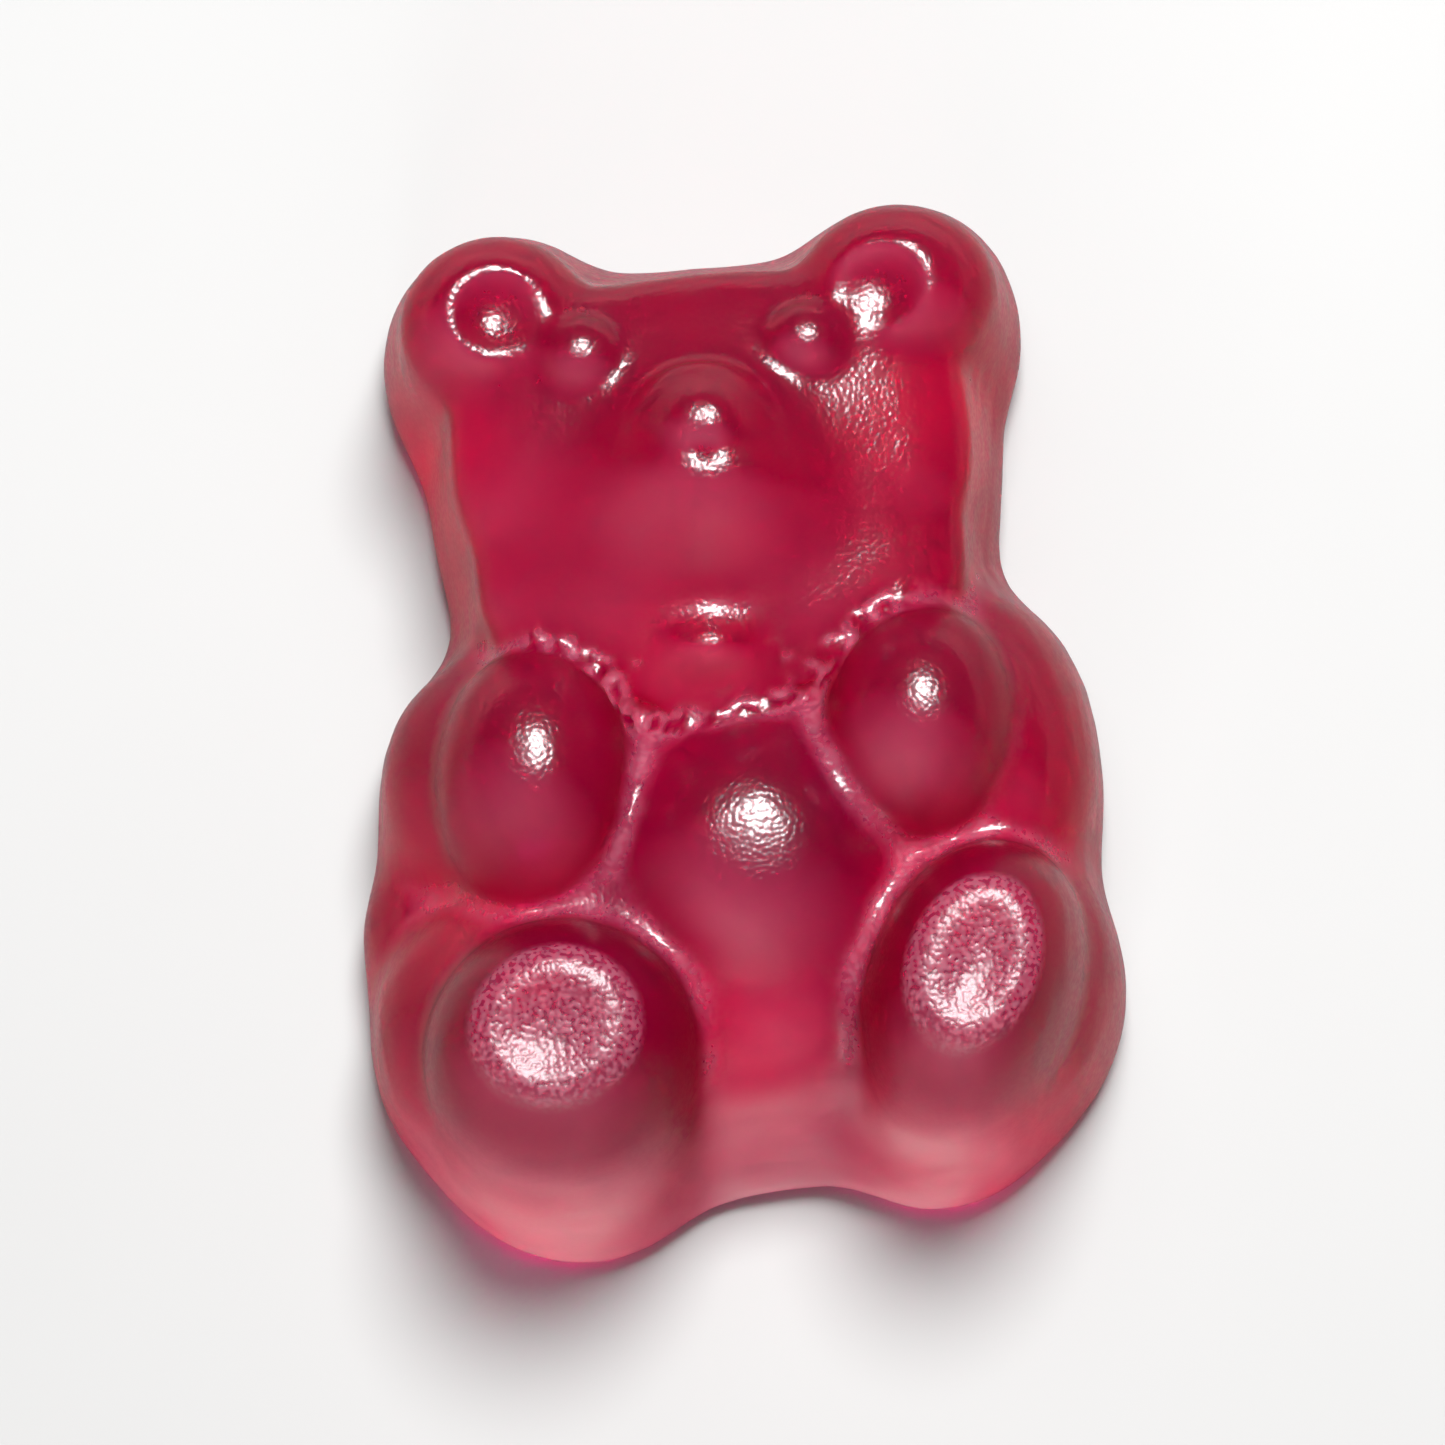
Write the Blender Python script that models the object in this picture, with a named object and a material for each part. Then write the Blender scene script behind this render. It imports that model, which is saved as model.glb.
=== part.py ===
"""Gummy bear: one solid cast sweet that lies on its flat back.

The head points to +Y, the feet to -Y and the front of the bear looks up, to +Z. The origin is
in the middle of the back. Rounded masses are spun from a profile, stretched and melted
together, first the broad ones and then the details. The skin is then thinned and stretched to
the driving sizes.
"""
import math
from dataclasses import dataclass, replace

import bmesh
import bpy
from mathutils import Matrix, Vector

MM = 0.001

# The driving sizes of the finished bear, in metres.
BEAR_LENGTH = 21.5 * MM
BEAR_WIDTH = 15.7 * MM
BEAR_DEPTH = 8.8 * MM

# The bear is modelled in millimetres. Walls flare toward the back, as a cast shape must to
# leave its mould: growth for each millimetre of depth, at the sides and at both ends.
SIDE_FLARE = 0.17
END_FLARE = 0.30
# The flare at the foot end of the trunk.
TRUNK_END_FLARE = 0.56
# How broad the top of a soft mass is. At 1 its profile is a cosine curve.
BELL_FULLNESS = 1.1


@dataclass
class Lobe:
    """A rounded mass: a dome above its shoulder and a flaring wall from there to its foot.

    A soft lobe has a bell instead of the dome, which runs out gently at the shoulder.

    x and y are the centre, half_width and half_length the plan radii at the shoulder, turn the
    angle in degrees about the centre, flare_x and flare_y the growth of the plan radii for
    each millimetre below the shoulder. A corner of 2 is an ellipse in plan, more is squarer.
    The dome is cut flat at the height cut.
    """

    x: float
    y: float
    half_width: float
    half_length: float
    shoulder: float
    top: float
    turn: float = 0.0
    flare_x: float = SIDE_FLARE
    flare_y: float = END_FLARE
    corner: float = 2.0
    foot: float = 0.0
    cut: float = math.inf
    soft: bool = False


# The head is turned a little against the body, about the origin.
HEAD_TURN = -4.5
FACE_CORNER = 2.6
BROW = Lobe(0.3, 5.3, 5.1, 3.25, shoulder=5.2, top=6.7, corner=FACE_CORNER)
JAW = Lobe(0.35, 3.0, 4.8, 2.7, shoulder=5.0, top=6.5, corner=FACE_CORNER)
LEFT_EAR = Lobe(-3.85, 8.0, 1.85, 1.65, shoulder=4.9, top=6.9)
RIGHT_EAR = Lobe(4.2, 8.15, 1.9, 1.65, shoulder=4.9, top=6.9)
BRIDGE = Lobe(0.2, 5.0, 2.3, 2.2, shoulder=6.4, top=8.0, foot=5.0, soft=True)
MUZZLE = Lobe(0.2, 4.35, 3.3, 2.75, shoulder=6.25, top=8.2, foot=5.0, soft=True)
CHIN = Lobe(0.0, 1.4, 2.3, 1.6, shoulder=5.6, top=6.8, foot=4.5, soft=True)

# The body: a trunk from neck to crotch, with shoulder and hip masses at its corners.
NECK = Lobe(0.15, 0.7, 5.1, 2.8, shoulder=3.6, top=5.2)
TRUNK = Lobe(-0.4, -3.9, 5.0, 3.8, shoulder=3.6, top=6.1, flare_y=TRUNK_END_FLARE)
LEFT_SHOULDER = Lobe(-4.1, -0.8, 2.65, 2.75, shoulder=2.5, top=5.9)
RIGHT_SHOULDER = Lobe(5.4, -1.45, 2.05, 3.3, shoulder=2.5, top=5.9)
LEFT_WAIST = Lobe(-5.2, -3.3, 2.4, 2.2, shoulder=1.0, top=3.6)
LEFT_HIP = Lobe(-4.2, -5.7, 3.35, 3.05, shoulder=2.5, top=6.2)
RIGHT_HIP = Lobe(4.15, -5.8, 3.15, 3.25, shoulder=2.5, top=6.2)
RIGHT_HEEL = Lobe(3.0, -7.9, 2.3, 1.9, shoulder=1.0, top=3.0)
BELLY = Lobe(0.4, -3.2, 3.7, 3.75, shoulder=4.9, top=7.3, foot=3.0, soft=True)

# Paws and feet are steep domes, the feet with flat soles.
SOLE_HEIGHT = 8.5
LEFT_PAW = Lobe(-3.65, -1.1, 1.9, 2.45, shoulder=5.2, top=7.7, turn=-8)
RIGHT_PAW = Lobe(4.05, -1.05, 1.85, 2.2, shoulder=5.2, top=7.7, turn=-10)
LEFT_FOOT = Lobe(-3.85, -6.6, 2.65, 2.45, shoulder=5.2, top=9.2, turn=10, cut=SOLE_HEIGHT)
RIGHT_FOOT = Lobe(4.35, -6.45, 2.0, 2.8, shoulder=5.2, top=9.2, turn=-26, cut=SOLE_HEIGHT)

HEAD_MASSES = (BROW, JAW, LEFT_EAR, RIGHT_EAR, BRIDGE, MUZZLE)
BODY_MASSES = (
    NECK, BELLY, TRUNK, LEFT_SHOULDER, RIGHT_SHOULDER, LEFT_WAIST, LEFT_HIP, RIGHT_HIP, RIGHT_HEEL
)
LIMBS = (LEFT_PAW, RIGHT_PAW, LEFT_FOOT, RIGHT_FOOT)

# The limbs melt in with the broad masses, and from this height up once more with the details,
# so that only their front keeps a sharp crease.
LIMB_DETAIL_FOOT = 4.4

# Ear cups, eye sockets and eyes stand at mirrored places in the frame of the head. All are
# ellipsoids, given by their centre and their three radii.
EAR_CUP = (3.7, 7.85, 7.2)
EAR_CUP_RADII = (1.2, 1.2, 0.95)
EYE_SPREAD = 2.24
EYE_SOCKET = (0.08, 7.0, 7.35)
EYE_SOCKET_RADII = (1.1, 1.1, 0.8)
EYE = (0.08, 7.0, 6.3)
EYE_RADII = (0.68, 0.68, 0.65)
NOSE = Lobe(0.2, 5.2, 0.75, 0.6, shoulder=7.8, top=8.4, flare_x=0.8, flare_y=0.8, foot=7.0)

# How finely masses are made, and the voxel sizes at which they melt together.
SPIN_STEPS = 64
WALL_STEPS = 12
DOME_STEPS = 12
BALL_SUBDIVISIONS = 4
WELD_DISTANCE = 1e-5
BROAD_VOXEL = 0.25
BROAD_ROUNDS = 4
FINE_VOXEL = 0.2
FINE_ROUNDS = 3
SMOOTHING = 0.5
# Heights below which the outline is smoothed in plan, and how often.
BACK_SOFTENING = ((4.5, 6), (3.0, 12), (1.5, 24))
KEPT_TRIANGLES = 10500


def bell(along):
    """The height of a bell of unit height at a share of its radius."""
    return (1 + math.cos(math.pi * along ** BELL_FULLNESS)) / 2


def lobe_profile(lobe):
    """Half the outline of a lobe of unit radius, from the top of the dome to the foot."""
    rise = lobe.top - lobe.shoulder
    points = []
    for step in range(DOME_STEPS):
        along = step / DOME_STEPS
        if lobe.soft:
            points.append((along, lobe.shoulder + rise * bell(along)))
        else:
            angle = math.pi / 2 * (1 - along)
            points.append((math.cos(angle), lobe.shoulder + rise * math.sin(angle)))
    for step in range(WALL_STEPS + 1):
        points.append((1.0, lobe.shoulder + (lobe.foot - lobe.shoulder) * step / WALL_STEPS))
    points.append((0.0, lobe.foot))
    return points


def lobe_mesh(lobe, frame):
    """The closed mesh of a lobe: its profile spun round, then stretched to the plan radii."""
    work = bmesh.new()
    verts = [work.verts.new((reach, 0.0, height)) for reach, height in lobe_profile(lobe)]
    edges = [work.edges.new(pair) for pair in zip(verts, verts[1:])]
    bmesh.ops.spin(work, geom=verts + edges, axis=(0, 0, 1), steps=SPIN_STEPS, angle=math.tau)
    bmesh.ops.remove_doubles(work, verts=work.verts, dist=WELD_DISTANCE)
    power = lobe.corner
    for vert in work.verts:
        below = max(lobe.shoulder - vert.co.z, 0.0)
        reach = math.hypot(vert.co.x, vert.co.y)
        squared = (abs(vert.co.x) ** power + abs(vert.co.y) ** power) ** (1 / power)
        swell = reach / squared if squared else 1.0
        vert.co.x *= swell * (lobe.half_width + lobe.flare_x * below)
        vert.co.y *= swell * (lobe.half_length + lobe.flare_y * below)
        vert.co.z = min(vert.co.z, lobe.cut)
    mesh = bpy.data.meshes.new("lobe")
    work.to_mesh(mesh)
    work.free()
    place = Matrix.Translation((lobe.x, lobe.y, 0.0))
    mesh.transform(frame @ place @ Matrix.Rotation(math.radians(lobe.turn), 4, "Z"))
    return mesh


def ball_mesh(centre, radii, frame):
    """An ellipsoid."""
    work = bmesh.new()
    bmesh.ops.create_icosphere(work, subdivisions=BALL_SUBDIVISIONS, radius=1.0)
    mesh = bpy.data.meshes.new("ball")
    work.to_mesh(mesh)
    work.free()
    mesh.transform(frame @ Matrix.Translation(centre) @ Matrix.Diagonal((*radii, 1.0)))
    return mesh


def joined(meshes):
    """One mesh that holds all the given ones."""
    work = bmesh.new()
    for mesh in meshes:
        work.from_mesh(mesh)
    result = bpy.data.meshes.new("joined")
    work.to_mesh(result)
    work.free()
    return result


def shaped(mesh, *modifiers):
    """The mesh after a row of modifiers, each given as its type and its settings."""
    work = bpy.data.objects.new("work", mesh)
    bpy.context.collection.objects.link(work)
    for kind, settings in modifiers:
        modifier = work.modifiers.new(kind, kind)
        for name, value in settings.items():
            setattr(modifier, name, value)
    graph = bpy.context.evaluated_depsgraph_get()
    result = bpy.data.meshes.new_from_object(work.evaluated_get(graph))
    bpy.data.objects.remove(work)
    return result


def melted(meshes, voxel, rounds):
    """Overlapping closed meshes fused into one skin, with the creases rounded."""
    return shaped(
        joined(meshes),
        ("REMESH", {"mode": "VOXEL", "voxel_size": voxel}),
        ("SMOOTH", {"factor": SMOOTHING, "iterations": rounds}),
    )


def soften_back(mesh):
    """Round the outline in plan, more and more toward the back."""
    work = bmesh.new()
    work.from_mesh(mesh)
    for height, rounds in BACK_SOFTENING:
        low = [vert for vert in work.verts if vert.co.z < height]
        for _ in range(rounds):
            bmesh.ops.smooth_vert(work, verts=low, factor=SMOOTHING, use_axis_x=True, use_axis_y=True)
    work.to_mesh(mesh)
    work.free()


def bear_mesh():
    """The whole bear, in millimetres."""
    head = Matrix.Rotation(math.radians(HEAD_TURN), 4, "Z")
    body = Matrix.Identity(4)
    masses = [lobe_mesh(lobe, head) for lobe in HEAD_MASSES]
    masses += [lobe_mesh(lobe, body) for lobe in (*BODY_MASSES, *LIMBS)]
    broad = melted(masses, BROAD_VOXEL, BROAD_ROUNDS)
    soften_back(broad)

    dishes = []
    details = [lobe_mesh(CHIN, head), lobe_mesh(NOSE, head)]
    details += [lobe_mesh(replace(limb, foot=LIMB_DETAIL_FOOT), body) for limb in LIMBS]
    for side in (-1, 1):
        cup = (side * EAR_CUP[0], EAR_CUP[1], EAR_CUP[2])
        spread = Matrix.Translation((side * EYE_SPREAD, 0.0, 0.0))
        dishes.append(ball_mesh(cup, EAR_CUP_RADII, head))
        dishes.append(ball_mesh(EYE_SOCKET, EYE_SOCKET_RADII, head @ spread))
        details.append(ball_mesh(EYE, EYE_RADII, head @ spread))

    cutter = bpy.data.objects.new("dishes", joined(dishes))
    bpy.context.collection.objects.link(cutter)
    carved = shaped(broad, ("BOOLEAN", {"operation": "DIFFERENCE", "object": cutter}))
    bpy.data.objects.remove(cutter)
    return melted([carved, *details], FINE_VOXEL, FINE_ROUNDS)


def thinned(mesh):
    """The mesh with about KEPT_TRIANGLES triangles."""
    triangles = sum(len(face.vertices) - 2 for face in mesh.polygons)
    return shaped(mesh, ("DECIMATE", {"ratio": KEPT_TRIANGLES / triangles}))


def fit_to_sizes(mesh):
    """Stretch to the driving sizes, centred over the origin with the back at Z = 0."""
    low = Vector(min(vert.co[axis] for vert in mesh.vertices) for axis in range(3))
    high = Vector(max(vert.co[axis] for vert in mesh.vertices) for axis in range(3))
    base = Vector(((low.x + high.x) / 2, (low.y + high.y) / 2, low.z))
    extent = high - low
    stretch = (BEAR_WIDTH / extent.x, BEAR_LENGTH / extent.y, BEAR_DEPTH / extent.z, 1.0)
    mesh.transform(Matrix.Diagonal(stretch) @ Matrix.Translation(-base))


def gummy_material():
    """Raspberry-red gel with a satin skin."""
    material = bpy.data.materials.new("raspberry_gummy")
    material.use_nodes = True
    shader = material.node_tree.nodes["Principled BSDF"]
    shader.inputs["Base Color"].default_value = (0.45, 0.005, 0.045, 1.0)
    shader.inputs["Roughness"].default_value = 0.35
    return material


def build():
    for old in list(bpy.data.objects):
        bpy.data.objects.remove(old)
    mesh = thinned(bear_mesh())
    fit_to_sizes(mesh)
    mesh.name = "gummy_bear"
    mesh.shade_smooth()
    mesh.materials.append(gummy_material())
    bear = bpy.data.objects.new("gummy_bear", mesh)
    bpy.context.collection.objects.link(bear)


build()
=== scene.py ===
"""A translucent raspberry gummy bear on a pale floor, seen from almost straight above.

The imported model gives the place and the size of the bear. The shown piece is built from the
same masses as the solid, with a finer skin and the small relief: lumps in the neck crease, a
nose pit, hollow frosted soles and a gently uneven skin.
"""
import math
from dataclasses import dataclass, replace

import bmesh
import bpy
import numpy as np
from mathutils import Matrix, Vector, noise


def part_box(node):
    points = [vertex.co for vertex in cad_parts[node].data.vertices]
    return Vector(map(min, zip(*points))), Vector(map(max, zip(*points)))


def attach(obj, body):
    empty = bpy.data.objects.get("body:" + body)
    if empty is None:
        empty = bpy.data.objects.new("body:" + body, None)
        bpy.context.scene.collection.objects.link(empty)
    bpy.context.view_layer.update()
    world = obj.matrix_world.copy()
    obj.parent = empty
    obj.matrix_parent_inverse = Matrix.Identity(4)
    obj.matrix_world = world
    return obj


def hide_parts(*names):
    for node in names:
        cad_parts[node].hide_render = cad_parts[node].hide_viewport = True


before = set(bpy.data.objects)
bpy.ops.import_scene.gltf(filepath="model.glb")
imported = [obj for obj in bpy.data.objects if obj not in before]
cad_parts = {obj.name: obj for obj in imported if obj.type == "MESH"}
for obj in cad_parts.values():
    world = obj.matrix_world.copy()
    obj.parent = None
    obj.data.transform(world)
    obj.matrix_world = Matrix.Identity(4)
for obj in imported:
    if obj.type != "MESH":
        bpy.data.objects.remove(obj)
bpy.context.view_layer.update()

MM = 0.001

# ---------------------------------------------------------------- masses, in millimetres

# Walls flare toward the back: growth for each millimetre of depth, at the sides and at both
# ends, and at the foot end of the trunk.
SIDE_FLARE = 0.17
END_FLARE = 0.30
TRUNK_END_FLARE = 0.56
# The depth over which a wall bends into its flare.
SHOULDER_BLEND = 1.4
# How broad the top of a soft mass is. At 1 its profile is a cosine curve.
BELL_FULLNESS = 1.1
BROAD_FULLNESS = 1.5


@dataclass
class Lobe:
    """A rounded mass: a dome above its shoulder and a flaring wall from there to its foot.

    A soft lobe has a bell instead of the dome, which runs out gently at the shoulder and is
    broader on top the greater its fullness.

    x and y are the centre, half_width and half_length the plan radii at the shoulder, turn the
    angle in degrees about the centre, flare_x and flare_y the growth of the plan radii for
    each millimetre below the shoulder. A corner of 2 is an ellipse in plan, more is squarer.
    The dome is cut flat at the height cut.
    """

    x: float
    y: float
    half_width: float
    half_length: float
    shoulder: float
    top: float
    turn: float = 0.0
    flare_x: float = SIDE_FLARE
    flare_y: float = END_FLARE
    corner: float = 2.0
    foot: float = 0.0
    cut: float = math.inf
    soft: bool = False
    fullness: float = BELL_FULLNESS


# The head is turned a little against the body, about the origin.
HEAD_TURN = -4.5
FACE_CORNER = 2.6
BROW = Lobe(0.3, 5.3, 5.1, 3.25, shoulder=5.2, top=6.7, corner=FACE_CORNER)
JAW = Lobe(0.35, 3.0, 4.8, 2.7, shoulder=5.0, top=6.5, corner=FACE_CORNER)
LEFT_EAR = Lobe(-3.85, 8.0, 1.85, 1.65, shoulder=4.9, top=6.9)
RIGHT_EAR = Lobe(4.2, 8.15, 1.9, 1.65, shoulder=4.9, top=6.9)
BRIDGE = Lobe(0.2, 5.0, 2.3, 2.2, shoulder=6.4, top=8.0, foot=5.0, soft=True)
MUZZLE = Lobe(0.2, 4.35, 3.3, 2.75, shoulder=6.25, top=8.2, foot=5.0, soft=True)
CHIN = Lobe(0.05, 1.0, 1.8, 1.15, shoulder=5.7, top=6.85, foot=4.5, soft=True)

# The body: a trunk from neck to crotch, with shoulder and hip masses at its corners.
NECK = Lobe(0.15, 0.7, 5.1, 2.8, shoulder=3.6, top=5.2)
TRUNK = Lobe(-0.4, -3.9, 5.0, 3.8, shoulder=3.6, top=6.1, flare_y=TRUNK_END_FLARE)
LEFT_SHOULDER = Lobe(-4.1, -0.8, 2.65, 2.75, shoulder=2.5, top=5.9)
RIGHT_SHOULDER = Lobe(5.4, -1.45, 2.05, 3.3, shoulder=2.5, top=5.9)
LEFT_WAIST = Lobe(-5.2, -3.3, 2.4, 2.2, shoulder=1.0, top=3.6)
LEFT_HIP = Lobe(-4.2, -5.7, 3.35, 3.05, shoulder=2.5, top=6.2)
RIGHT_HIP = Lobe(4.15, -5.8, 3.15, 3.25, shoulder=2.5, top=6.2)
RIGHT_HEEL = Lobe(3.0, -7.9, 2.3, 1.9, shoulder=1.0, top=3.0)
BELLY = Lobe(
    0.4, -3.2, 3.7, 3.75, shoulder=4.9, top=7.2, foot=3.0, soft=True, fullness=BROAD_FULLNESS
)

# Paws and feet are steep domes, the feet with flat soles.
SOLE_HEIGHT = 8.5
LEFT_PAW = Lobe(-3.65, -1.1, 1.9, 2.45, shoulder=5.2, top=7.7, turn=-8)
RIGHT_PAW = Lobe(4.05, -1.05, 1.85, 2.2, shoulder=5.2, top=7.7, turn=-10)
LEFT_FOOT = Lobe(-3.85, -6.6, 2.65, 2.45, shoulder=5.2, top=9.2, turn=10, cut=SOLE_HEIGHT)
RIGHT_FOOT = Lobe(4.35, -6.45, 2.0, 2.8, shoulder=5.2, top=9.2, turn=-26, cut=SOLE_HEIGHT)

HEAD_MASSES = (BROW, JAW, LEFT_EAR, RIGHT_EAR, BRIDGE, MUZZLE, CHIN)
BODY_MASSES = (
    NECK, BELLY, TRUNK, LEFT_SHOULDER, RIGHT_SHOULDER, LEFT_WAIST, LEFT_HIP, RIGHT_HIP, RIGHT_HEEL
)
LIMBS = (LEFT_PAW, RIGHT_PAW, LEFT_FOOT, RIGHT_FOOT)

# The limbs melt in with the broad masses, and from this height up once more with the details,
# so that only their front keeps a sharp crease.
LIMB_DETAIL_FOOT = 4.4

# Ear cups, eye sockets and eyes come in pairs in the frame of the head. All are ellipsoids,
# given by their centre and their three radii. The cups are mirrored. The sockets and the eyes
# stand to both sides of their centre, at a distance of EYE_SPREAD.
EAR_CUP = (3.7, 7.85, 7.2)
EAR_CUP_RADII = (1.2, 1.2, 0.95)
EYE_SPREAD = 2.24
EYE_SOCKET = (0.08, 7.0, 7.35)
EYE_SOCKET_RADII = (1.15, 1.15, 0.74)
EYE = (0.08, 7.0, 6.3)
EYE_RADII = (0.82, 0.8, 0.66)

# The nose is a small soft mass on the muzzle.
NOSE = Lobe(
    0.2, 5.15, 1.3, 1.15, shoulder=7.3, top=8.15, foot=6.0, soft=True, fullness=BROAD_FULLNESS
)

# How finely masses are made, and how they melt together: voxel sizes, smoothing rounds and
# the strength of each round.
SPIN_STEPS = 96
WALL_STEPS = 16
DOME_STEPS = 20
BALL_SUBDIVISIONS = 4
WELD_DISTANCE = 1e-5
BROAD_VOXEL = 0.2
BROAD_ROUNDS = 6
FINE_VOXEL = 0.115
DETAIL_ROUNDS = 2
FINE_ROUNDS = 8
SMOOTHING = 0.5

# The outline is smoothed in plan toward the back: heights, and the rounds for all below each.
BACK_SOFTENING = (
    (5.2, 2), (4.8, 3), (4.4, 4), (4.0, 5), (3.6, 5), (3.2, 6), (2.8, 6), (2.4, 7), (2.0, 8),
    (1.6, 8), (1.2, 9)
)

# Round areas of the front are smoothed in the frame of the head: the middle in plan, the
# radius, the lowest height and the rounds. First the broad face, then the eyes and the nose.
FACE_SOFTENING = (
    ((0.2, 5.0), 4.0, 5.2, 16),
    ((0.2, 4.9), 3.1, 5.2, 16),
    ((0.2, 6.4), 2.0, 5.2, 24),
)
EYE_SOFTENING = (
    ((-2.16, 7.0), 1.7, 5.5, 10),
    ((2.32, 7.0), 1.7, 5.5, 10),
    ((0.2, 5.3), 1.9, 6.5, 5),
)


def bell(along, fullness):
    """The height of a bell of unit height at a share of its radius."""
    return (1 + math.cos(math.pi * along ** fullness)) / 2


def lobe_profile(lobe):
    """Half the outline of a lobe of unit radius, from the top of the dome to the foot."""
    rise = lobe.top - lobe.shoulder
    points = []
    for step in range(DOME_STEPS):
        along = step / DOME_STEPS
        if lobe.soft:
            points.append((along, lobe.shoulder + rise * bell(along, lobe.fullness)))
        else:
            angle = math.pi / 2 * (1 - along)
            points.append((math.cos(angle), lobe.shoulder + rise * math.sin(angle)))
    for step in range(WALL_STEPS + 1):
        points.append((1.0, lobe.shoulder + (lobe.foot - lobe.shoulder) * step / WALL_STEPS))
    points.append((0.0, lobe.foot))
    return points


def lobe_mesh(lobe, frame_turn):
    """The closed mesh of a lobe: its profile spun round, then stretched to the plan radii."""
    work = bmesh.new()
    verts = [work.verts.new((reach, 0.0, height)) for reach, height in lobe_profile(lobe)]
    edges = [work.edges.new(pair) for pair in zip(verts, verts[1:])]
    bmesh.ops.spin(work, geom=verts + edges, axis=(0, 0, 1), steps=SPIN_STEPS, angle=math.tau)
    bmesh.ops.remove_doubles(work, verts=work.verts, dist=WELD_DISTANCE)
    power = lobe.corner
    for vert in work.verts:
        depth = lobe.shoulder - vert.co.z
        below = (depth + math.hypot(depth, SHOULDER_BLEND)) / 2
        reach = math.hypot(vert.co.x, vert.co.y)
        squared = (abs(vert.co.x) ** power + abs(vert.co.y) ** power) ** (1 / power)
        swell = reach / squared if squared else 1.0
        vert.co.x *= swell * (lobe.half_width + lobe.flare_x * below)
        vert.co.y *= swell * (lobe.half_length + lobe.flare_y * below)
        vert.co.z = min(vert.co.z, lobe.cut)
    mesh = bpy.data.meshes.new("lobe")
    work.to_mesh(mesh)
    work.free()
    place = Matrix.Translation((lobe.x, lobe.y, 0.0))
    mesh.transform(frame_turn @ place @ Matrix.Rotation(math.radians(lobe.turn), 4, "Z"))
    return mesh


def ball_mesh(centre, radii, frame_turn, turn=0.0):
    """An ellipsoid, turned by some degrees about its own upright axis."""
    work = bmesh.new()
    bmesh.ops.create_icosphere(work, subdivisions=BALL_SUBDIVISIONS, radius=1.0)
    mesh = bpy.data.meshes.new("ball")
    work.to_mesh(mesh)
    work.free()
    stretched = Matrix.Rotation(math.radians(turn), 4, "Z") @ Matrix.Diagonal((*radii, 1.0))
    mesh.transform(frame_turn @ Matrix.Translation(centre) @ stretched)
    return mesh


def joined(meshes):
    """One mesh that holds all the given ones."""
    work = bmesh.new()
    for mesh in meshes:
        work.from_mesh(mesh)
    result = bpy.data.meshes.new("joined")
    work.to_mesh(result)
    work.free()
    return result


def shaped(mesh, *modifiers):
    """The mesh after a row of modifiers, each given as its type and its settings."""
    work = bpy.data.objects.new("work", mesh)
    bpy.context.collection.objects.link(work)
    for kind, settings in modifiers:
        modifier = work.modifiers.new(kind, kind)
        for name, value in settings.items():
            setattr(modifier, name, value)
    graph = bpy.context.evaluated_depsgraph_get()
    result = bpy.data.meshes.new_from_object(work.evaluated_get(graph))
    bpy.data.objects.remove(work)
    return result


def melted(meshes, voxel, rounds):
    """Overlapping closed meshes fused into one skin, with the creases rounded."""
    return shaped(
        joined(meshes),
        ("REMESH", {"mode": "VOXEL", "voxel_size": voxel}),
        ("SMOOTH", {"factor": SMOOTHING, "iterations": rounds}),
    )


def carved(mesh, hollows):
    """The mesh with closed meshes cut out of it."""
    cutter = bpy.data.objects.new("cutter", joined(hollows))
    bpy.context.collection.objects.link(cutter)
    result = shaped(mesh, ("BOOLEAN", {"operation": "DIFFERENCE", "object": cutter}))
    bpy.data.objects.remove(cutter)
    return result


def soften_spots(mesh, spots, frame_turn):
    """Smooth round areas of the front."""
    work = bmesh.new()
    work.from_mesh(mesh)
    for (x, y), reach, low, rounds in spots:
        middle = frame_turn @ Vector((x, y, 0.0))
        near = [
            vert for vert in work.verts
            if vert.co.z > low and math.hypot(vert.co.x - middle.x, vert.co.y - middle.y) < reach
        ]
        for _ in range(rounds):
            bmesh.ops.smooth_vert(
                work, verts=near, factor=SMOOTHING, use_axis_x=True, use_axis_y=True, use_axis_z=True
            )
    work.to_mesh(mesh)
    work.free()


def soften_back(mesh):
    """Round the outline in plan, more and more toward the back."""
    work = bmesh.new()
    work.from_mesh(mesh)
    for height, rounds in BACK_SOFTENING:
        low = [vert for vert in work.verts if vert.co.z < height]
        for _ in range(rounds):
            bmesh.ops.smooth_vert(
                work, verts=low, factor=SMOOTHING, use_axis_x=True, use_axis_y=True
            )
    work.to_mesh(mesh)
    work.free()


# ---------------------------------------------------------------- small relief

# Small lumps along the neck crease: the crease in plan, how near to it they lie, their height
# and their length.
CREASE_LINE = (
    (-2.75, 1.5), (-1.7, 0.35), (-0.6, 0.0), (0.8, 0.1), (1.65, 0.35), (2.6, 0.85), (3.7, 1.45)
)
CREASE_REACH = 0.65
LUMP_HEIGHT = 0.28
LUMP_LENGTH = 0.36

# Each sole is pressed hollow by a flat ellipsoid: its centre, radii and turn in degrees.
DISH_HEIGHT = SOLE_HEIGHT + 0.2
SOLE_DISHES = (
    ((-3.95, -6.65, DISH_HEIGHT), (1.45, 1.25, 0.32), 10),
    ((4.45, -6.5, DISH_HEIGHT), (0.9, 1.6, 0.32), -26),
)

NOSE_PIT = (0.24, 4.55, 8.1)
NOSE_PIT_RADII = (0.3, 0.25, 0.3)

# Uneven skin: amplitude and wavelength of each wave, and the height over which all fade out
# toward the flat back, in millimetres.
SKIN_WAVES = ((0.06, 2.4), (0.012, 0.65), (0.004, 0.28))
WAVE_FADE = 1.0
WAVE_SEED = Vector((11.3, 4.7, 8.1))

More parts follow.
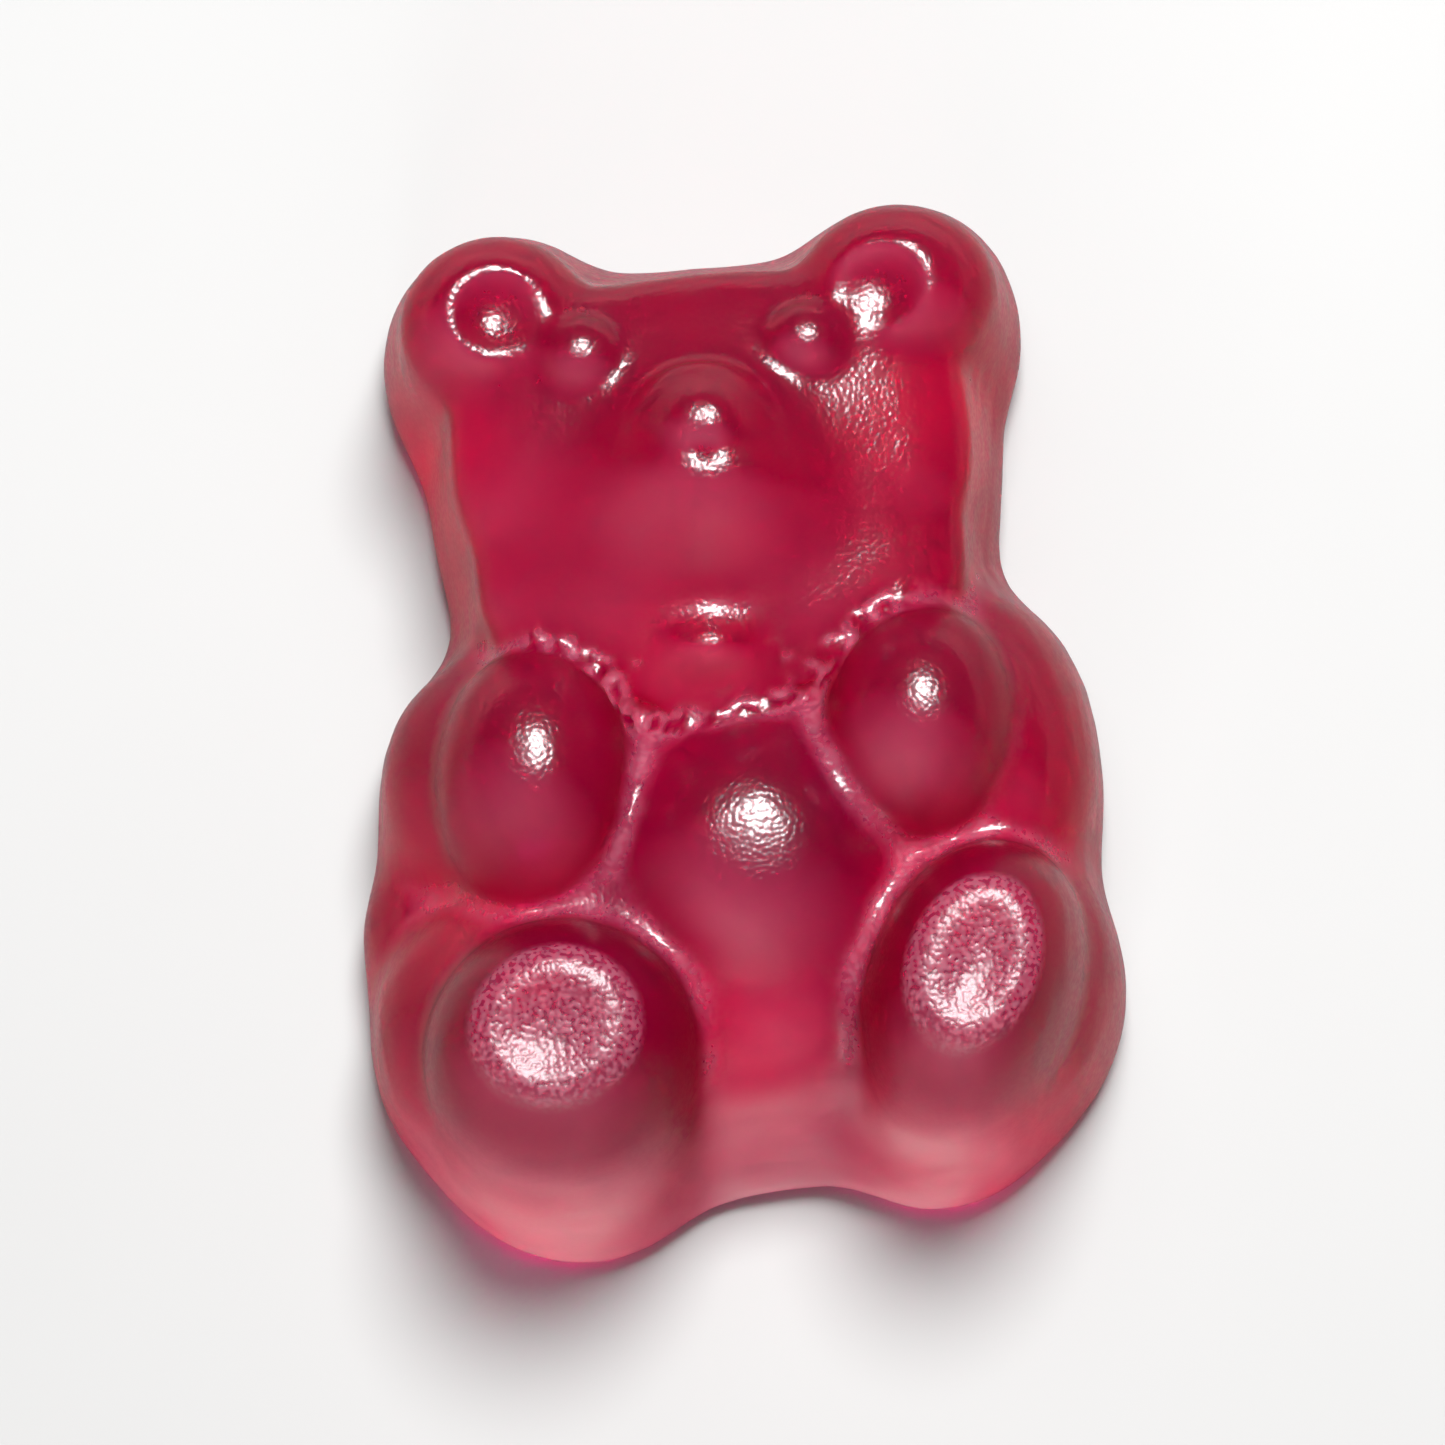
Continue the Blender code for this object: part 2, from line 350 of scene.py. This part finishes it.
# Smoothing fills a hollow in. A narrow crease is found after a few rounds, and is full where
# the skin has risen by this much. Broad forms take many rounds.
CREASE_ROUNDS = 12
CREASE_FULL = 0.035
BROAD_FORM_ROUNDS = 150


def hollowness(mesh, rounds):
    """How far smoothing fills the skin in at each vertex: more than 0 in a hollow, less on a bump."""
    count = len(mesh.vertices)
    start = np.empty(count * 3)
    mesh.vertices.foreach_get("co", start)
    start = start.reshape(-1, 3)
    normals = np.empty(count * 3)
    mesh.vertices.foreach_get("normal", normals)
    normals = normals.reshape(-1, 3)
    ends = np.empty(len(mesh.edges) * 2, dtype=np.int64)
    mesh.edges.foreach_get("vertices", ends)
    ends = ends.reshape(-1, 2)
    own = np.concatenate([ends[:, 0], ends[:, 1]])
    other = np.concatenate([ends[:, 1], ends[:, 0]])
    degree = np.bincount(own, minlength=count)
    moved = start.copy()
    for _ in range(rounds):
        for axis in range(3):
            around = np.bincount(own, weights=moved[other, axis], minlength=count) / degree
            moved[:, axis] += SMOOTHING * (around - moved[:, axis])
    return ((moved - start) * normals).sum(axis=1)


def creases(mesh):
    """How deep in a narrow crease each vertex lies, from 0 to 1."""
    return np.clip(hollowness(mesh, CREASE_ROUNDS) / CREASE_FULL, 0.0, 1.0)


def crease_distance(point):
    """How far a point is from the neck crease, in plan."""
    spot = Vector((point.x, point.y))
    nearest = math.inf
    for start, end in zip(CREASE_LINE, CREASE_LINE[1:]):
        start = Vector(start)
        end = Vector(end)
        along = (spot - start).dot(end - start) / (end - start).length_squared
        foot = start.lerp(end, min(max(along, 0.0), 1.0))
        nearest = min(nearest, (spot - foot).length)
    return nearest


def uneven(mesh):
    """Push the skin in and out in gentle waves, and in small lumps along the neck crease."""
    normals = [vert.normal.copy() for vert in mesh.vertices]
    for vert, normal, crease in zip(mesh.vertices, normals, creases(mesh)):
        push = 0.0
        for amplitude, wavelength in SKIN_WAVES:
            push += amplitude * noise.noise(vert.co / wavelength + WAVE_SEED)
        if crease > 0 and crease_distance(vert.co) < CREASE_REACH:
            push += LUMP_HEIGHT * float(crease) * noise.noise(vert.co / LUMP_LENGTH + WAVE_SEED)
        vert.co += normal * push * min(max(vert.co.z / WAVE_FADE, 0.0), 1.0)


def bear_mesh():
    """The whole bear, in millimetres."""
    head = Matrix.Rotation(math.radians(HEAD_TURN), 4, "Z")
    body = Matrix.Identity(4)
    masses = [lobe_mesh(lobe, head) for lobe in HEAD_MASSES]
    masses += [lobe_mesh(lobe, body) for lobe in (*BODY_MASSES, *LIMBS)]
    broad = melted(masses, BROAD_VOXEL, BROAD_ROUNDS)
    soften_spots(broad, FACE_SOFTENING, head)
    soften_back(broad)

    dishes = []
    details = [lobe_mesh(NOSE, head)]
    details += [lobe_mesh(replace(limb, foot=LIMB_DETAIL_FOOT), body) for limb in LIMBS]
    for side in (-1, 1):
        cup = (side * EAR_CUP[0], EAR_CUP[1], EAR_CUP[2])
        spread = Matrix.Translation((side * EYE_SPREAD, 0.0, 0.0))
        dishes.append(ball_mesh(cup, EAR_CUP_RADII, head))
        dishes.append(ball_mesh(EYE_SOCKET, EYE_SOCKET_RADII, head @ spread))
        details.append(ball_mesh(EYE, EYE_RADII, head @ spread))

    presses = [ball_mesh(NOSE_PIT, NOSE_PIT_RADII, head)]
    presses += [ball_mesh(centre, radii, body, turn) for centre, radii, turn in SOLE_DISHES]
    detailed = melted([carved(broad, dishes), *details], FINE_VOXEL, DETAIL_ROUNDS)
    whole = melted([carved(detailed, presses)], FINE_VOXEL, FINE_ROUNDS)
    soften_spots(whole, EYE_SOFTENING, head)
    uneven(whole)
    return whole


def largest_island(mesh):
    """Drop every part of the mesh but the one with the most vertices."""
    work = bmesh.new()
    work.from_mesh(mesh)
    unseen = set(work.verts)
    islands = []
    while unseen:
        front = [unseen.pop()]
        island = list(front)
        while front:
            vert = front.pop()
            for edge in vert.link_edges:
                other = edge.other_vert(vert)
                if other in unseen:
                    unseen.remove(other)
                    front.append(other)
                    island.append(other)
        islands.append(island)
    islands.sort(key=len)
    bmesh.ops.delete(work, geom=[vert for island in islands[:-1] for vert in island], context="VERTS")
    work.to_mesh(mesh)
    work.free()


def fit_to_box(mesh, box):
    """Stretch the mesh to fill the box of a node."""
    low = Vector(min(vert.co[axis] for vert in mesh.vertices) for axis in range(3))
    high = Vector(max(vert.co[axis] for vert in mesh.vertices) for axis in range(3))
    extent = high - low
    room = box[1] - box[0]
    stretch = Matrix.Diagonal((room.x / extent.x, room.y / extent.y, room.z / extent.z, 1.0))
    mesh.transform(Matrix.Translation(box[0]) @ stretch @ Matrix.Translation(-low))


# ---------------------------------------------------------------- marks on the skin

# Each range takes a mark from 0 to 1. Heights, hollowness and places along the bear are in
# millimetres. The slope of the skin is the upward part of its normal: 1 on a flat top, 0 on a
# wall.
# Along the bear, the span where the painted crease highlight fades out; the glossy slopes; the slopes
# of walls that get painted shade.
CREASE_HIGHLIGHT_ALONG = (2.4, 1.8)
GLOSSY_SLOPE = (0.6, 0.9)
WALL_SLOPE = (0.6, 0.3)

# Dust and a painted sheen lie on the skin that faces this way, toward the light side: the sheen
# is painted light. They lie on what stands out of its surroundings and on the steep walls of
# the foot end, less toward their top.
LIT_SIDE = Vector((-0.3, -0.8, 0.52))
LIT_FACING = (0.40, 0.90)
DUST_AND_SHEEN_HOLLOWNESS = (0.18, -0.12)
DUST_AND_SHEEN_ALONG = (-5.2, -8.6)
DUST_AND_SHEEN_SLOPE = (0.9, 0.2)
DUST_AND_SHEEN_HEIGHT = (7.8, 3.8)
DUST_AND_SHEEN_AT_TOP = 0.2
DUST_AND_SHEEN_ON_BUMPS = 0.35

# How patchy the dust and painted sheen are, and the length of their patches.
DUST_AND_SHEEN_PATCHINESS = 0.35
PATCH_LENGTH = 1.6


def share(values, span):
    """How far values have come from the start of a range to its end, from 0 to 1."""
    start, end = span
    return np.clip((values - start) / (end - start), 0.0, 1.0)


def keep(mesh, name, values):
    """Store a value for each vertex as an attribute of the mesh."""
    mesh.attributes.new(name, "FLOAT", "POINT").data.foreach_set("value", values)


def mark_skin(mesh):
    """Store creases, painted crease highlight, dust and painted sheen, gloss, painted wall shade."""
    along = np.array([vert.co.y for vert in mesh.vertices])
    height = np.array([vert.co.z for vert in mesh.vertices])
    slope = np.array([vert.normal.z for vert in mesh.vertices])
    crease = creases(mesh)
    keep(mesh, "crease", crease)
    # Painted highlight: a pale line along the creases of the body, toward the feet.
    keep(mesh, "crease_highlight", crease * share(along, CREASE_HIGHLIGHT_ALONG))

    # Painted sheen: skin that faces the light side, on bumps and on the foot-end walls, is marked
    # pale together with its dust.
    facing = np.array([vert.normal.dot(LIT_SIDE) for vert in mesh.vertices])
    facing_light = share(facing, LIT_FACING)
    proud = share(hollowness(mesh, BROAD_FORM_ROUNDS), DUST_AND_SHEEN_HOLLOWNESS)
    foot_end = share(along, DUST_AND_SHEEN_ALONG) * share(slope, DUST_AND_SHEEN_SLOPE)
    foot_end *= np.maximum(share(height, DUST_AND_SHEEN_HEIGHT), DUST_AND_SHEEN_AT_TOP)
    patches = np.array([noise.noise(vert.co / PATCH_LENGTH + WAVE_SEED) for vert in mesh.vertices])
    patchy = 1.0 + DUST_AND_SHEEN_PATCHINESS * patches
    keep(mesh, "dust_and_sheen", facing_light * np.maximum(DUST_AND_SHEEN_ON_BUMPS * proud, foot_end) * patchy)
    keep(mesh, "gloss", share(slope, GLOSSY_SLOPE))
    # Painted shade: walls that face away from the light side are marked for a darker red.
    keep(mesh, "side", share(np.abs(slope), WALL_SLOPE) * (1.0 - facing_light))


# ---------------------------------------------------------------- material

WHITE = (1.0, 1.0, 1.0, 1.0)

# The gel: its refraction, the tint and the strength of its absorption, and the colours of its
# skin on the front, on walls under painted shade, under dust with painted sheen and under frost
# with a painted highlight.
GEL_IOR = 1.17
GEL_TINT = (0.885, 0.03, 0.82, 1.0)
GEL_DENSITY = 560.0
DEEP_RED = (0.88, 0.003, 0.21, 1.0)
SHADED_WALL_RED = (0.72, 0.001, 0.15, 1.0)
PALE_RED = (0.92, 0.44, 0.49, 1.0)
FROST_AND_HIGHLIGHT_PINK = (0.90, 0.50, 0.56, 1.0)

# Frost, with a painted highlight in its pale colour, covers the soles: where it begins and is
# full in height, and along the bear.
FROST_HEIGHT = (8.35 * MM, 8.62 * MM)
FROST_ALONG = (-2.0 * MM, -3.0 * MM)

# How much of the skin frost with its painted highlight and the painted pale highlight of the
# creases cover, from the darkest to the palest speckle, and the span of the noise that the
# speckles take.
SPECKLE_SPAN = (0.3, 0.7)
FROST_AND_HIGHLIGHT_COVER = (0.15, 0.5)
CREASE_HIGHLIGHT_COVER = (0.32, 0.5)

# How much light passes through clear skin, and how that changes under dust and painted sheen,
# under frost and under the painted crease highlight.
CLEARNESS = 0.95
CLOUDING = -0.40

# Roughness from speckle to speckle, and what the dust and painted sheen, frost and a deep crease
# add to it.
ROUGHNESS = (0.32, 0.40)
DUST_ROUGHNESS = 0.25
FROST_ROUGHNESS = -0.08
WET_ROUGHNESS = -0.20
WET_CREASE = (0.3, 1.0)

# The thin gloss on the front is weaker on the soles. Its grain is stronger there.
COAT_ROUGHNESS = 0.23
COAT_UNDER_FROST = (1.0, 0.5)
GRAIN_SCALE = 10000.0
GRAIN_DEPTH = 0.02 * MM
GRAIN_STRENGTH = 0.65
FROST_GRAIN_STRENGTH = 0.25

FLOOR_ROUGHNESS = 0.6
FLOOR_MOTTLE = {"Scale": 40.0, "Detail": 4.0}
FLOOR_DARK = (0.43, 0.428, 0.425, 1.0)
FLOOR_PALE = (0.47, 0.468, 0.465, 1.0)


def add(tree, kind, inputs=None, **settings):
    """A node with its settings and its unlinked inputs."""
    node = tree.nodes.new(kind)
    for name, value in settings.items():
        setattr(node, name, value)
    for name, value in (inputs or {}).items():
        node.inputs[name].default_value = value
    return node


def stored(tree, name):
    """A value that is stored for each vertex."""
    return add(tree, "ShaderNodeAttribute", attribute_name=name).outputs["Fac"]


def ranged(tree, source, span, result=(0.0, 1.0), interpolation="LINEAR"):
    """A value mapped from one range to another, with both ends held."""
    node = add(
        tree, "ShaderNodeMapRange",
        {"From Min": span[0], "From Max": span[1], "To Min": result[0], "To Max": result[1]},
        interpolation_type=interpolation,
    )
    tree.links.new(source, node.inputs["Value"])
    return node.outputs["Result"]


def combined(tree, operation, first, second, third=None):
    """A maths node between sockets and numbers."""
    node = add(tree, "ShaderNodeMath", operation=operation)
    for slot, value in enumerate((first, second, third)):
        if isinstance(value, (int, float)):
            node.inputs[slot].default_value = value
        elif value is not None:
            tree.links.new(value, node.inputs[slot])
    return node.outputs["Value"]


# Places of the sockets of a mix node that mixes colours.
MIX_FACTOR = 0
MIX_A = 6
MIX_B = 7
MIX_RESULT = 2


def mixed(tree, factor, first, second):
    """One colour blended into another, each a socket or a plain colour."""
    node = add(tree, "ShaderNodeMix", data_type="RGBA")
    tree.links.new(factor, node.inputs[MIX_FACTOR])
    for slot, value in ((MIX_A, first), (MIX_B, second)):
        if isinstance(value, tuple):
            node.inputs[slot].default_value = value
        else:
            tree.links.new(value, node.inputs[slot])
    return node.outputs[MIX_RESULT]


def gummy_material():
    """Raspberry gel that light passes through, glossy on the front and dusty toward the feet.

    Frost and a painted highlight cover the soles, and a painted pale highlight lines the creases of
    the body. The dust carries a painted sheen, and walls facing away get painted shade.
    """
    material = bpy.data.materials.new("raspberry_gummy")
    material.use_nodes = True
    tree = material.node_tree
    link = tree.links.new
    shader = tree.nodes["Principled BSDF"]
    shader.inputs["IOR"].default_value = GEL_IOR
    shader.inputs["Coat Roughness"].default_value = COAT_ROUGHNESS

    place = add(tree, "ShaderNodeTexCoord").outputs["Object"]
    parts = add(tree, "ShaderNodeSeparateXYZ")
    link(place, parts.inputs["Vector"])
    grain = add(tree, "ShaderNodeTexNoise", {"Scale": GRAIN_SCALE, "Detail": 0.0})
    link(place, grain.inputs["Vector"])
    speckle = grain.outputs["Fac"]
    dust_and_sheen = stored(tree, "dust_and_sheen")

    top = ranged(tree, parts.outputs["Z"], FROST_HEIGHT, interpolation="SMOOTHSTEP")
    frost = combined(tree, "MULTIPLY", top, ranged(tree, parts.outputs["Y"], FROST_ALONG))
    # Frost and a painted highlight: the soles turn pale pink.
    frost_and_highlight = combined(tree, "MULTIPLY", frost, ranged(tree, speckle, SPECKLE_SPAN, FROST_AND_HIGHLIGHT_COVER))
    # Painted highlight: the creases of the body are lined pale.
    cover = ranged(tree, speckle, SPECKLE_SPAN, CREASE_HIGHLIGHT_COVER)
    painted_crease_highlight = combined(tree, "MULTIPLY", stored(tree, "crease_highlight"), cover)
    pale = combined(tree, "MAXIMUM", frost_and_highlight, painted_crease_highlight)

    # Painted shade: walls facing away from the light get a darker red.
    wall_shaded = mixed(tree, stored(tree, "side"), DEEP_RED, SHADED_WALL_RED)
    # Dust and painted sheen: pale pink where the skin faces the light side.
    dust_and_sheen_colour = mixed(tree, dust_and_sheen, wall_shaded, PALE_RED)
    link(mixed(tree, pale, dust_and_sheen_colour, FROST_AND_HIGHLIGHT_PINK), shader.inputs["Base Color"])
    solid = combined(tree, "MAXIMUM", dust_and_sheen, pale)
    clear = combined(tree, "MULTIPLY_ADD", solid, CLOUDING, CLEARNESS)
    link(clear, shader.inputs["Transmission Weight"])

    wet = ranged(tree, stored(tree, "crease"), WET_CREASE)
    rough = ranged(tree, speckle, SPECKLE_SPAN, ROUGHNESS)
    rough = combined(tree, "MULTIPLY_ADD", dust_and_sheen, DUST_ROUGHNESS, rough)
    rough = combined(tree, "MULTIPLY_ADD", frost, FROST_ROUGHNESS, rough)
    rough = combined(tree, "MULTIPLY_ADD", wet, WET_ROUGHNESS, rough)
    link(rough, shader.inputs["Roughness"])

    dulled = ranged(tree, frost, (0.0, 1.0), COAT_UNDER_FROST)
    coat = combined(tree, "MULTIPLY", stored(tree, "gloss"), dulled)
    link(coat, shader.inputs["Coat Weight"])
    bump = add(tree, "ShaderNodeBump", {"Distance": GRAIN_DEPTH})
    strength = combined(tree, "MULTIPLY_ADD", frost, FROST_GRAIN_STRENGTH, GRAIN_STRENGTH)
    link(speckle, bump.inputs["Height"])
    link(strength, bump.inputs["Strength"])
    link(bump.outputs["Normal"], shader.inputs["Coat Normal"])

    gel = add(tree, "ShaderNodeVolumeAbsorption", {"Color": GEL_TINT, "Density": GEL_DENSITY})
    link(gel.outputs["Volume"], tree.nodes["Material Output"].inputs["Volume"])
    return material


def floor_material():
    """Matt and pale, with a barely visible mottle."""
    material = bpy.data.materials.new("pale_floor")
    material.use_nodes = True
    tree = material.node_tree
    link = tree.links.new
    shader = tree.nodes["Principled BSDF"]
    shader.inputs["Roughness"].default_value = FLOOR_ROUGHNESS
    place = add(tree, "ShaderNodeTexCoord")
    mottle = add(tree, "ShaderNodeTexNoise", FLOOR_MOTTLE)
    ramp = add(tree, "ShaderNodeValToRGB")
    ramp.color_ramp.elements[0].color = FLOOR_DARK
    ramp.color_ramp.elements[1].color = FLOOR_PALE
    link(place.outputs["Object"], mottle.inputs["Vector"])
    link(mottle.outputs["Fac"], ramp.inputs["Fac"])
    link(ramp.outputs["Color"], shader.inputs["Base Color"])
    return material


# ---------------------------------------------------------------- bear

skin = bear_mesh()
largest_island(skin)
mark_skin(skin)
fit_to_box(skin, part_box("gummy_bear"))
skin.name = "bear_skin"
skin.shade_smooth()
skin.materials.append(gummy_material())
bear = bpy.data.objects.new("bear_skin", skin)
bpy.context.collection.objects.link(bear)
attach(bear, "root")
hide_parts("gummy_bear")

# ---------------------------------------------------------------- floor, light and camera

FLOOR_HALF = 0.6
FLOOR_CELLS = 8
FLOOR_DROP = 0.02 * MM
floor_work = bmesh.new()
bmesh.ops.create_grid(
    floor_work, x_segments=FLOOR_CELLS, y_segments=FLOOR_CELLS, size=FLOOR_HALF
)
floor_mesh = bpy.data.meshes.new("floor")
floor_work.to_mesh(floor_mesh)
floor_work.free()
floor_mesh.materials.append(floor_material())
floor = bpy.data.objects.new("floor", floor_mesh)
floor.location.z = -FLOOR_DROP
bpy.context.collection.objects.link(floor)

SURROUND_STRENGTH = 0.03
world = bpy.data.worlds.new("studio")
world.use_nodes = True
surround = world.node_tree.nodes["Background"]
surround.inputs["Color"].default_value = WHITE
surround.inputs["Strength"].default_value = SURROUND_STRENGTH
bpy.context.scene.world = world


def softbox(name, azimuth, elevation, distance, size, power):
    """A round area light that looks at the bear. Azimuth 0 is over the head, 90 the right."""
    light = bpy.data.lights.new(name, "AREA")
    light.shape = "DISK"
    light.size = size
    light.energy = power
    lamp = bpy.data.objects.new(name, light)
    turn = math.radians(azimuth)
    climb = math.radians(elevation)
    side = Vector((math.sin(turn), math.cos(turn), 0.0))
    lamp.location = (side * math.cos(climb) + Vector((0, 0, math.sin(climb)))) * distance
    lamp.rotation_euler = (-lamp.location).to_track_quat("-Z", "Y").to_euler()
    bpy.context.collection.objects.link(lamp)
    return lamp


softbox("key", azimuth=22, elevation=67, distance=0.30, size=0.12, power=1.5)
softbox("overhead", azimuth=10, elevation=70, distance=0.40, size=0.30, power=0.48)
# The fill lights the foot end from low down, and leaves no glint of its own.
fill = softbox("fill", azimuth=-170, elevation=8, distance=0.60, size=0.30, power=2.8)
fill.visible_glossy = False

bpy.context.scene.view_settings.view_transform = "Standard"

# The camera: its tilt toward the feet and its roll in degrees, the width that it sees and the
# point that it looks at, and its lens.
VIEW_TILT = 10.0
VIEW_ROLL = 8.0
VIEW_SPAN = 29.5 * MM
VIEW_CENTRE = Vector((0.23, -0.45, 3.0)) * MM
LENS = 250.0
SENSOR = 36.0
CLIP_START = 0.005

camera_data = bpy.data.cameras.new("camera")
camera_data.lens = LENS
camera_data.sensor_width = SENSOR
camera_data.clip_start = CLIP_START
camera = bpy.data.objects.new("camera", camera_data)
tilt = math.radians(VIEW_TILT)
away = Vector((0.0, -math.sin(tilt), math.cos(tilt)))
camera.location = VIEW_CENTRE + away * (VIEW_SPAN * LENS / SENSOR)
across = Vector((1.0, 0.0, 0.0))
upward = away.cross(across)
roll = Matrix.Rotation(-math.radians(VIEW_ROLL), 3, away)
axes = Matrix((roll @ across, roll @ upward, away)).transposed()
camera.rotation_euler = axes.to_euler()
bpy.context.collection.objects.link(camera)
bpy.context.scene.camera = camera
